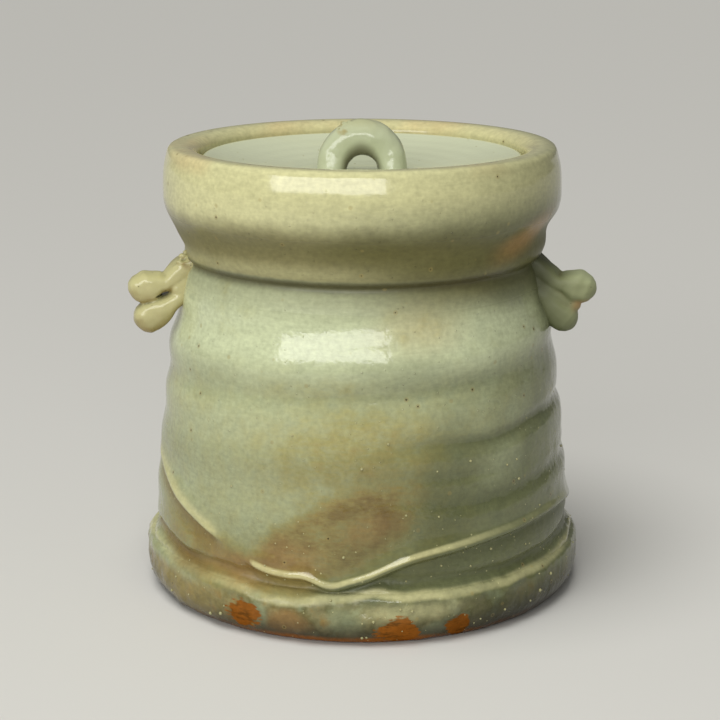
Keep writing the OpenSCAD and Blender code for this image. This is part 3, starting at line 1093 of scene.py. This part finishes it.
# Under the collar, olive and dark olive are partly the glaze's own colour and partly painted shade, deeper
# towards the right; the lit lower roll keeps less of it, as painted light.
lit_roll = collar_height.bump(140, 6) * place.aside.fall(-15, 25)
collar_coat.lay(OLIVE, collar_height.fall(152, 163) * (1 - 0.35 * lit_roll))
collar_coat.lay(SHADE_GREEN, collar_height.fall(152, 167) * rightward * 0.6)
collar_coat.lay(DARK_OLIVE, collar_height.bump(150, 11) * (0.45 + place.aside.rise(-24, 6) * 0.55))
collar_coat.lay(DARK_OLIVE, collar_height.bump(142, 9) * place.aside.rise(-5, 25) * 0.7)
collar_coat.lay(SHADE_GREEN, collar_height.bump(160, 12) * place.aside.rise(-40, 30) * 0.4)
collar_coat.lay(PEACH, inner_r.fall(69, 72) * (0.2 + place.cloud * 1.2))
rosy_rim = (place.height + place.cloud * 6).rise(173, 179) * place.cloud.rise(0, 0.2)
collar_coat.lay(PEACH, rosy_rim * 0.6)
# Painted shade on the outside of the collar towards the right.
collar_coat.lay(SHADE_GREEN, (place.aside + place.cloud * 60).rise(0, 90) * inner_r.rise(71, 76) * 0.4)
collar_coat.lay(ORANGE_BLUSH, place.spot(57, 150, 17, 5, 16, 0.9, 0.3) * 0.55)
print("collar painted")

# %% Flange of the jar glaze
FLANGE_STOPS = ((0.0, POOLED), (0.35, DARK_OLIVE), (0.6, OLIVE), (0.8, BROWN), (1.0, UMBER))
FLANGE_PATCHES = (
    (CREAM, 0.5, (12, 14, 18, 4, 0, 0.6, 0.9)),
    (ROSY_TAN, 0.85, (-19, 8, 9, 6, 0, 0.4, 0.9)),
    (POOLED, 0.7, (-26, 10, 3.5, 5, 0, 0.4, 1.2)),
    (POOLED, 0.6, (-5, 10, 7, 5, 0, 0.5, 1.2)),
    (POOLED, 0.7, (18, 6, 5, 4, 0, 0.4, 1.2)),
)
BARE_SPOTS = ((-31, 9, 7.2, 5.8), (8.5, 6.5, 7.4, 6), (24.5, 5.5, 5, 4.5))
on_flange = (place.height + place.ragged * 10).fall(14, 20)
flange_thin = 0.55 + place.cloud * 0.7 + place.ragged * 1.8 + place.grain * 1.2
flange_coat = Coat(ramp(tree, flange_thin - place.aside.rise(-45, 30) * 0.2, FLANGE_STOPS))
# Painted shade on the flange towards the right.
flange_coat.lay(SHADE_GREEN, (place.aside + place.cloud * 90).rise(-10, 45) * 0.6)
flange_coat.patch(place, FLANGE_PATCHES)
# Painted shade: the flange darkens towards the floor.
flange_coat.lay(BURNT_CLAY_AND_SHADE, (place.height + place.ragged * 10).fall(2, 15) * 0.85)
flange_coat.lay(TAN, place.spot(-54, 13, 26, 9, 0, 0.6, 0.7) * 0.65)
foot_line = (place.height + place.ragged * 6).fall(1.6, 4.2) * place.around.bump(0, 70)
flange_coat.lay(BARE_CLAY, foot_line * 0.85)
bare, *more_bare = [place.spot(*spot, soft=0.12, rough=0.6, torn=1.0) for spot in BARE_SPOTS]
for spot in more_bare:
    bare = bare.math("MAXIMUM", spot)
bare_clay = Coat(BARE_CLAY)
bare_clay.lay(BURNT_CLAY_AND_SHADE, (place.streaks * 1.4 + place.grain).rise(-0.1, 0.35) * 0.65)
flange_coat.lay(bare_clay.colour, bare * 0.9)
print("flange painted, bare in", len(BARE_SPOTS), "spots")

# %% Ridges and pinholes of the jar glaze
jar_coat = Coat(wall_coat.colour)
jar_coat.lay(collar_coat.colour, on_collar)
jar_coat.lay(flange_coat.colour, on_flange)
pits = place.pinholes(4.2, 0.10, 0.46)
crumb = place.pinholes(2.2, 0.16, 0.42)
worn = (place.ragged + place.cloud * 0.5).rise(-0.3, 0.25) * 0.4 + 0.25
worn = worn * (1 - 0.8 * place.around.bump(-50, 36) - 0.3 * place.aside.rise(20, 45))
jar_coat.lay(PALE_YELLOW, lip_crest.rise(0.2, 1.0) * worn)
broad = place.around.fall(-42, -36)
narrow_crest = welt_crest.rise(0.5 - place.around.rise(10, 30) * 0.15, 1.0) * (1 - broad)
fading = 0.65 - place.around.rise(12, 48) * 0.55
jar_coat.lay(PALE_YELLOW, welt_crest.rise(0.0, 1.0) * broad * 0.5)
jar_coat.lay(PALE_YELLOW, narrow_crest * fading)
jar_coat.lay(TAN, place.pinholes(4.2, 0.10, 1.2) * 0.35)
jar_coat.lay(PIT_AND_SHADE_BROWN, pits * 0.8)
jar_coat.lay(PALE_YELLOW, crumb * place.height.fall(20, 130) * 0.5)
speckle = 1 + place.grain * 0.2 + place.peel * 0.42 + place.streaks * 0.32 + place.cloud * 0.16
# Painted shade: dim darkens bands across the wall and the foot of the flange away from the front; it goes
# into the colour together with the speckle.
off_front = (place.around + 10).math("ABSOLUTE").rise(12, 55) * (1 - 0.6 * place.around.bump(-54, 24))
dim = 1 - place.height.bump(60, 34) * (1 - place.aside.rise(18, 40)) * 0.14
dim = dim - place.height.bump(67, 11) * place.aside.fall(0, 20) * 0.12 - place.height.bump(99, 12) * 0.09
dim = dim - on_flange * off_front * place.height.fall(10, 18) * 0.4
mottled_and_shaded = wired(tree, "ShaderNodeHueSaturation", {"Color": jar_coat.colour, "Value": speckle * dim})
print("ridges and pinholes painted")

# %% Gloss and skin of the jar glaze
under_rim = place.height.bump(145, 16)
dull = bare * 0.5 + on_flange * 0.10 + place.height.bump(130, 7) * 0.5 + under_rim * 0.4 + hollow_here * 0.35
roughness = 0.11 + place.ragged * 0.10 + dull - welt_crest * 0.05
shine = 0.5 - bare * 0.4 - on_flange * 0.15 - under_rim * 0.3 - foot_line * 0.3
low_down = place.height.fall(30, 110)
sandy = place.grain * (0.13 + low_down * 0.14 + rightward * 0.06) + place.peel * (0.08 + low_down * 0.16)
smooth_here = swell_here.rise(0.1, 0.5).math("MAXIMUM", place.height.rise(160, 172) * 0.7)
skin_relief = (sandy + crumb * 0.2) * (1 - 0.9 * smooth_here) - pits * 0.35
finish_glaze(jar_glaze, (jar,), mottled_and_shaded, roughness, skin_relief, shine)
print("jar glazed with", len(tree.nodes), "nodes")

# %% [markdown]
# ## The glaze on ears, lid and knob
# The ears carry a thinner coat, so the tan clay warms it where the root is torn. Their undersides,
# creases and slit are darkened as painted shade and their tops lightened as painted light. The right ear
# lies in the shade: its darker, greener coat is partly its glaze and partly painted shade. The lid and its
# knob were fired in another place in the kiln and came out cooler and more even; the inside of the
# knob's loop is darkened as painted shade.

# %% Ear glaze
SLIT_X = -79.6
SLIT_Z = 122.3
SLIT_RISE = 0.33
SLIT_HALF = 0.7
ear_glaze, tree, place = glaze_material("ear_glaze")
shaded = (place.x + place.cloud * 40).rise(-30, 30)
lit = 1 - shaded
lobe_height = place.height + place.ragged * 8
down = shader_attribute(tree, "down") + place.ragged * 0.4
ear_coat = Coat(EAR_CREAM)
# The right ear's darker, greener coat is partly its glaze and partly painted shade.
ear_coat.lay(SHADED_CELADON, shaded * 0.9)
# Painted shade: the right ear near its root, and the lower parts of both ears' lobes.
ear_coat.lay(SHADE_GREEN, shaded * place.x.fall(74, 85) * 0.55)
ear_coat.lay(OLIVE, lobe_height.fall(106, 117) * lit * 0.6)
ear_coat.lay(SHADE_GREEN, lobe_height.fall(106, 120) * shaded * 0.5)
# Painted shade in the creases.
ear_coat.lay(DARK_OLIVE, shader_attribute(tree, "crease").rise(0.05, 0.6) * 0.7)
# Painted light on the tops of the lobes.
ear_coat.lay(STRAW, down.fall(-0.9, -0.2) * lit * 0.4)
ear_coat.lay(CELADON, down.fall(-0.9, 0.2) * shaded * place.x.rise(79, 86) * 0.4)
# Painted shade on the undersides: tan and brown on the left ear, grey-green on the right.
ear_coat.lay(TAN, down.rise(-0.6, 0.6) * lit * 0.45)
ear_coat.lay(BROWN, down.rise(0.0, 0.9) * lit * 0.7)
ear_coat.lay(SHADE_GREEN, down.rise(-0.2, 0.8) * shaded * 0.6)
notch = (place.height + place.ragged * 4).bump(117.5, 4) * place.x.rise(81.5, 86)
ear_coat.lay(ORANGE_BLUSH, notch * 0.6)
# Painted shade in the left ear's slit, and painted shadow at the right ear's root.
along = place.x - SLIT_X
slit = (place.height - SLIT_Z - along * SLIT_RISE) / SLIT_HALF
slit = (slit * slit + along * along / 6).fall(0.5, 1.3) * place.y.fall(-18, -14)
ear_coat.lay(PAINTED_DEEP_SHADE, slit * 0.95)
root = place.x.fall(71, 78) * (place.height + place.cloud * 8).rise(118, 128) * shaded
ear_coat.lay(PAINTED_DEEP_SHADE, root * 0.5)
torn_zone = (place.height + place.ragged * 5).rise(131, 136) * lit
ear_coat.lay(BROWN, torn_zone * place.grain.rise(0.08, 0.2) * 0.8)
ear_coat.lay(PIT_AND_SHADE_BROWN, place.pinholes(2.6, 0.12, 0.35) * 0.6)
roughness = 0.2 + shaded * 0.35 + place.ragged * 0.2
skin_relief = place.peel * 0.05 + place.grain * 0.15
finish_glaze(ear_glaze, (left_ear, right_ear), ear_coat.colour, roughness, skin_relief)
print("ears glazed")

# %% Lid glaze
SCAR_X = -7
SCAR_Z = 187
LOOP_HALF = 6.4
LOOP_HIGH = 10.3
lid_glaze, tree, place = glaze_material("lid_glaze")
lid_coat = Coat(LID_GREEN)
lid_coat.lay(CREAM, place.cloud.rise(0.05, 0.3) * 0.4)
lid_coat.lay(POOLED, (place.height + place.cloud * 3).fall(lid_mid_z - 1, lid_mid_z + 3) * 0.25)
on_knob = length(place.x, place.y).fall(19, 21) * place.height.rise(169, 170.5)
lid_coat.lay(POOLED, on_knob * 0.4)
lid_coat.lay(STRAW, (place.height + place.ragged * 6).rise(183, 189) * on_knob * 0.4)
# Painted shade inside the knob's loop, darkest round the opening.
in_loop = length(place.x / LOOP_HALF, (place.height - lid_mid_z) / LOOP_HIGH)
in_loop = in_loop + place.x * 0.012 + place.cloud * 0.3
lid_coat.lay(PIT_AND_SHADE_BROWN, in_loop.fall(0.95, 1.5) * on_knob * 0.75)
beside = place.x - SCAR_X
above = place.height - SCAR_Z
scarred = (beside * beside + above * above).fall(4, 20)
lid_coat.lay(TAN, scarred * place.grain.rise(-0.05, 0.1) * 0.7)
pits = place.pinholes(3.0, 0.15, 0.45)
lid_coat.lay(STRAW, pits * 0.8)
roughness = 0.16 + place.ragged * 0.1
skin_relief = place.peel * 0.05 + place.grain * 0.08 - pits * 0.2
finish_glaze(lid_glaze, (lid, knob), lid_coat.colour, roughness, skin_relief)
print("lid glazed")

# %% [markdown]
# ## Sand in the clay
# Coarse sand stands out as pale beads, all round the flange and low on the right of the wall. Placing a
# couple of hundred by hand is slow, so a Geometry Nodes tree scatters points over the skin, more of them
# where a formula asks for more, and puts a small ball on each. The seed is fixed, so every run gives the
# same jar.

# %% Sand grains
SAND_SEED = 11
SAND_TONE = tone(162, 158, 114)
SAND_ROUGHNESS = 0.15
sand_sizes = {"Grain radius": 0.36, "Grains in a square metre": 8500}
sand_tree, skin_mesh, size = new_tree("sand", sand_sizes)
position = wired(sand_tree, "GeometryNodeInputPosition")
sx, sy, sand_height = parts_of(sand_tree, position)
sand_aside = degrees_aside(sx, sy)
on_foot = sand_height.fall(12, 24)
low_down = sand_height.fall(20, 110) * 0.8
more = low_down * (sand_aside.rise(-60, 60) * 0.8 + 0.2) + on_foot * 0.9
more = more * attribute(sand_tree, "skin") * sand_height.rise(2, 5)
scatter = add_node(
    sand_tree,
    "GeometryNodeDistributePointsOnFaces",
    {"Mesh": skin_mesh, "Density": more * size["Grains in a square metre"], "Seed": SAND_SEED},
)
ball_values = {"Radius": size["Grain radius"] * MM, "Subdivisions": 2}
spread = wired(sand_tree, "FunctionNodeRandomValue", {"Seed": SAND_SEED}, 1, data_type="FLOAT")
grain_values = {
    "Points": Wire(sand_tree, scatter.outputs["Points"]),
    "Instance": wired(sand_tree, "GeometryNodeMeshIcoSphere", ball_values, "Mesh"),
    "Rotation": Wire(sand_tree, scatter.outputs["Rotation"]),
    "Scale": spread.math("POWER", 2.5) * (1.2 + on_foot * 0.5) + 0.45,
}
grains = wired(sand_tree, "GeometryNodeInstanceOnPoints", grain_values)
grains = wired(sand_tree, "GeometryNodeRealizeInstances", {0: grains})
sand_glaze = plain_material("sand_glaze", SAND_TONE, SAND_ROUGHNESS)
grains = wired(sand_tree, "GeometryNodeSetMaterial", {"Geometry": grains, "Material": sand_glaze})
end_tree(sand_tree, grains)
sand = make_object("sand_grains", jar.data.copy())
run_tree(sand, sand_tree, sand_sizes)
sand.data.shade_smooth()
print("sand has", len(sand.data.polygons), "faces")

# %% [markdown]
# ## Hand the pieces over
# Each new mesh rides on the body that it belongs to and takes the place of the plain solid that it was
# made from. The lid and its knob ride on the lid's body, so both lift off together.

# %% Ride and replace
for piece, body, node, slot in (
    (jar, "jar", "jar_body", "jar_glaze"),
    (left_ear, "jar", "left_ear", "ear_glaze"),
    (right_ear, "jar", "right_ear", "ear_glaze"),
    (lid, "lid", "lid_plate", "lid_glaze"),
    (knob, "lid", "lid_knob", "lid_glaze"),
):
    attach(piece, body)
    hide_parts(node)
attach(sand, "jar")
print("pieces ride on their bodies")
